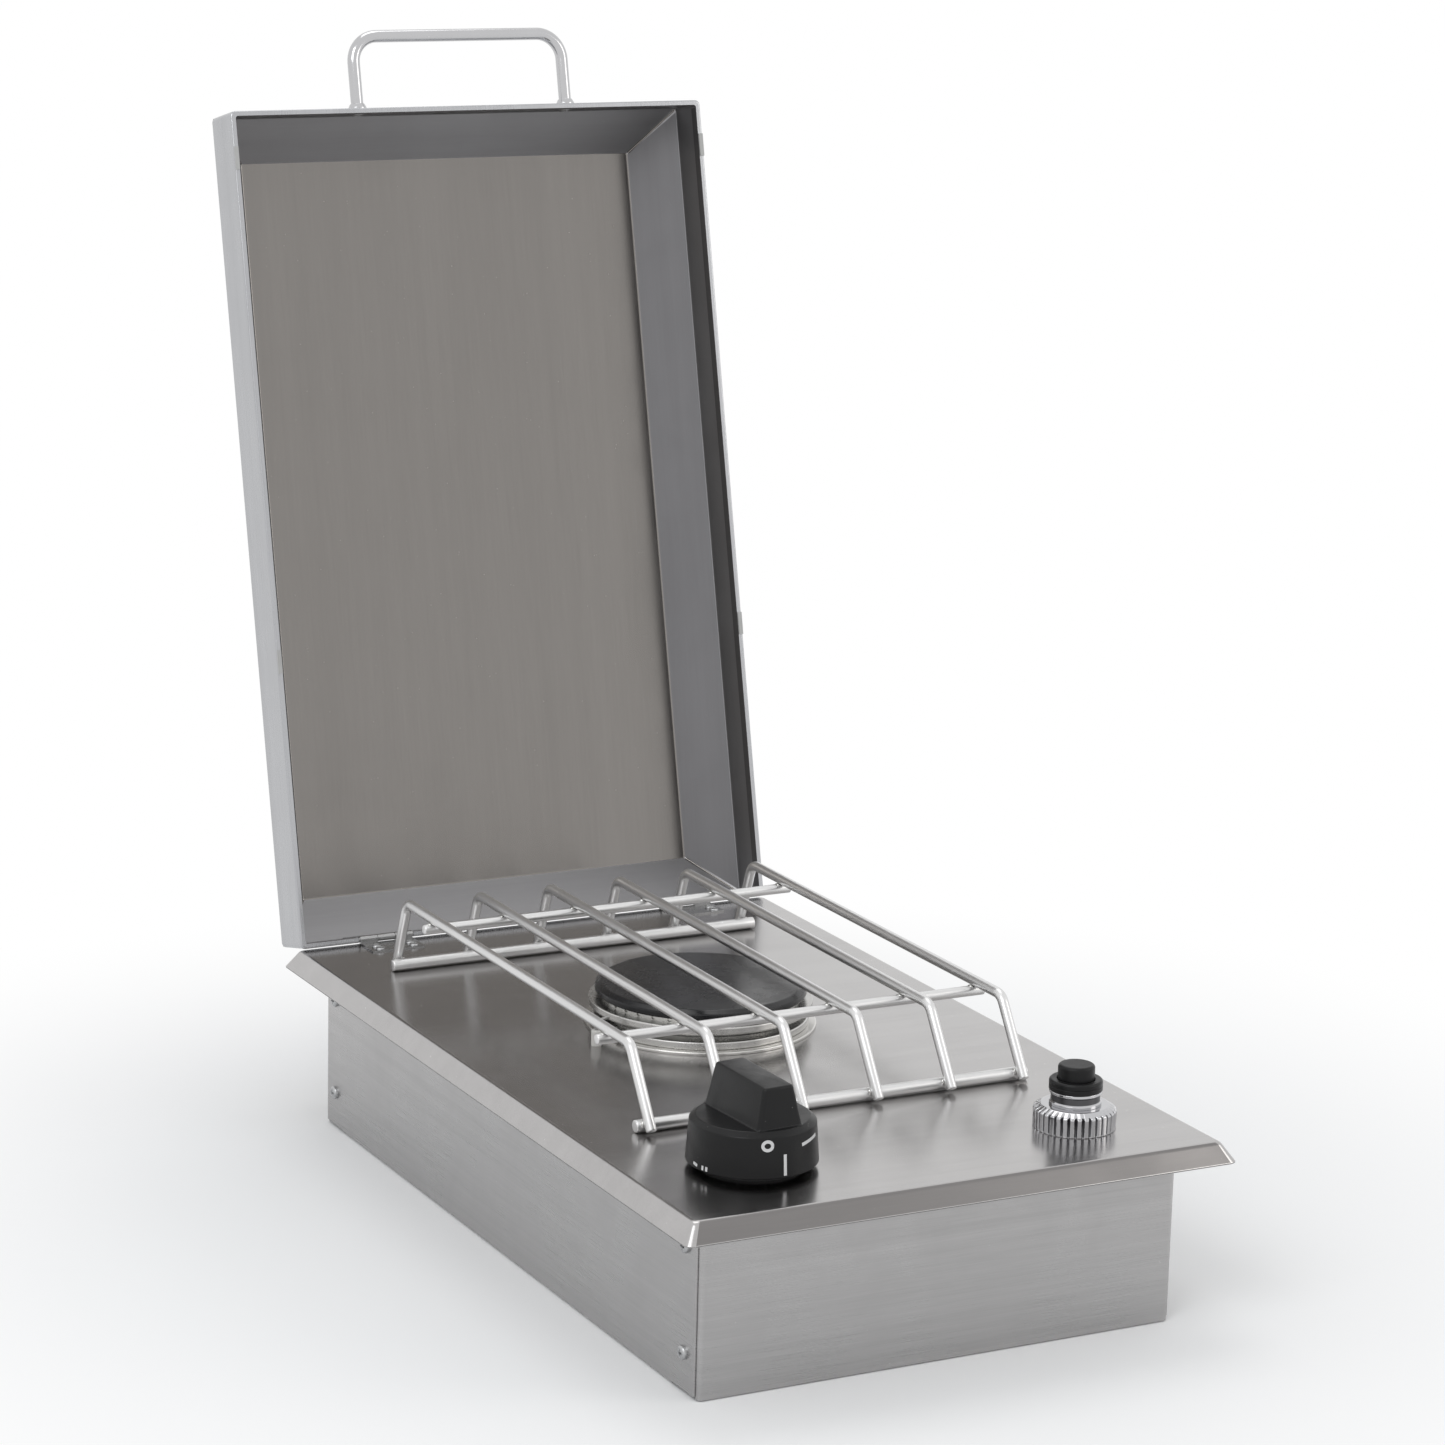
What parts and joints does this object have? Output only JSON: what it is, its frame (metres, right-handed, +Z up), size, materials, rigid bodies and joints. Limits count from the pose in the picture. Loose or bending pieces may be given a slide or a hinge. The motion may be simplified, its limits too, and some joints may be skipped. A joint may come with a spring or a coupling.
{
  "type": "drop-in gas side burner",
  "caption": "Sheet-steel drop-in cooking burner with a hinged lid, wire grate, round burner, push-and-turn knob and push igniter.",
  "frame": {"origin": "centre of the underside of the box, where it would stand on a bench", "axes": "+X to the right seen from the front, +Y to the back where the lid is hinged, +Z up"},
  "size_m": [0.33, 0.6932, 0.6426],
  "materials": {
    "deck_steel": "polished stainless sheet with a soft grain",
    "box_steel": "brushed stainless sheet",
    "lid_steel": "polished stainless sheet",
    "bright_chrome": "bright chrome plate",
    "zinc": "zinc-plated steel",
    "plain_steel": "plain steel tube and strip",
    "burner_alloy": "cast and turned alloy",
    "black_enamel": "satin black enamel",
    "brass": "turned brass",
    "black_plastic": "satin black plastic",
    "dark_plastic": "matt dark plastic",
    "white_ceramic": "glazed white ceramic",
    "black_rubber": "soft black rubber",
    "clear_rubber": "soft clear rubber",
    "battery_wrap": "printed sleeve"
  },
  "bodies": {
    "box": {"deck_plate": "deck_steel", "front_panel": "box_steel", "rear_panel": "box_steel", "left_side_panel": "box_steel", "right_side_panel": "box_steel", "bottom_panel": "box_steel", "panel_screws": "zinc", "deck_studs": "zinc", "deck_nuts": "zinc", "burner_trim_ring": "bright_chrome", "burner_base": "burner_alloy", "burner_head": "burner_alloy", "burner_screws": "zinc", "venturi_tube": "plain_steel", "air_shutter": "plain_steel", "gas_valve_body": "brass", "gas_orifice": "brass", "valve_bracket": "plain_steel", "valve_screws": "zinc", "valve_spring": "plain_steel", "knob_escutcheon": "dark_plastic", "manifold_pipe": "plain_steel", "gas_inlet_fitting": "brass", "inlet_lock_nut": "brass", "igniter_bezel_nut": "bright_chrome", "igniter_collar": "bright_chrome", "igniter_housing": "dark_plastic", "igniter_battery": "battery_wrap", "igniter_battery_cap": "black_plastic", "igniter_spring": "plain_steel", "ignition_lead": "black_rubber", "electrode_ceramic": "white_ceramic", "electrode_rod": "plain_steel", "electrode_bracket": "zinc", "left_hinge_base_leaf": "plain_steel", "right_hinge_base_leaf": "plain_steel", "hinge_pins": "plain_steel", "hinge_screws": "zinc"},
    "valve_push": {"valve_push_collar": "brass"},
    "knob": {"knob": "black_plastic", "valve_stem": "brass"},
    "igniter_button": {"igniter_button": "black_plastic"},
    "lid": {"lid_shell": "lid_steel", "lid_handle": "bright_chrome", "handle_ferrules": "bright_chrome", "handle_screws": "zinc", "lid_bumpers": "clear_rubber", "left_hinge_lid_leaf": "plain_steel", "right_hinge_lid_leaf": "plain_steel", "lid_rivets": "plain_steel"},
    "grate": {"grate_wire_1": "bright_chrome", "grate_wire_2": "bright_chrome", "grate_wire_3": "bright_chrome", "grate_wire_4": "bright_chrome", "grate_wire_5": "bright_chrome", "grate_wire_6": "bright_chrome", "grate_lower_rods": "bright_chrome", "grate_upper_rods": "bright_chrome"},
    "burner_cap": {"burner_cap": "black_enamel"}
  },
  "joints": [
    {"name": "lid_hinge", "type": "hinge", "parent": "box", "child": "lid", "pos_m": [0, 0.2554, 0.1087], "axis": [1, 0, 0], "range_deg": [0, 103.2]},
    {"name": "knob_push", "type": "slide", "parent": "box", "child": "valve_push", "axis": [0, 0, -1], "range_m": [0, 0.003], "stiffness_N_per_m": 2000, "springref_m": -0.002, "deforming": ["valve_spring"]},
    {"name": "knob_turn", "type": "hinge", "parent": "valve_push", "child": "knob", "pos_m": [-0.09, -0.2, 0.098], "axis": [0, 0, 1], "range_deg": [0, 210]},
    {"name": "igniter_press", "type": "slide", "parent": "box", "child": "igniter_button", "axis": [0, 0, -1], "range_m": [0, 0.005], "stiffness_N_per_m": 800, "springref_m": -0.003, "deforming": ["igniter_spring"]},
    {"name": "grate_lift", "type": "slide", "parent": "box", "child": "grate", "axis": [0, 0, 1], "range_m": [0, 0.006]},
    {"name": "cap_lift", "type": "slide", "parent": "box", "child": "burner_cap", "axis": [0, 0, 1], "range_m": [0, 0.012]}
  ]
}
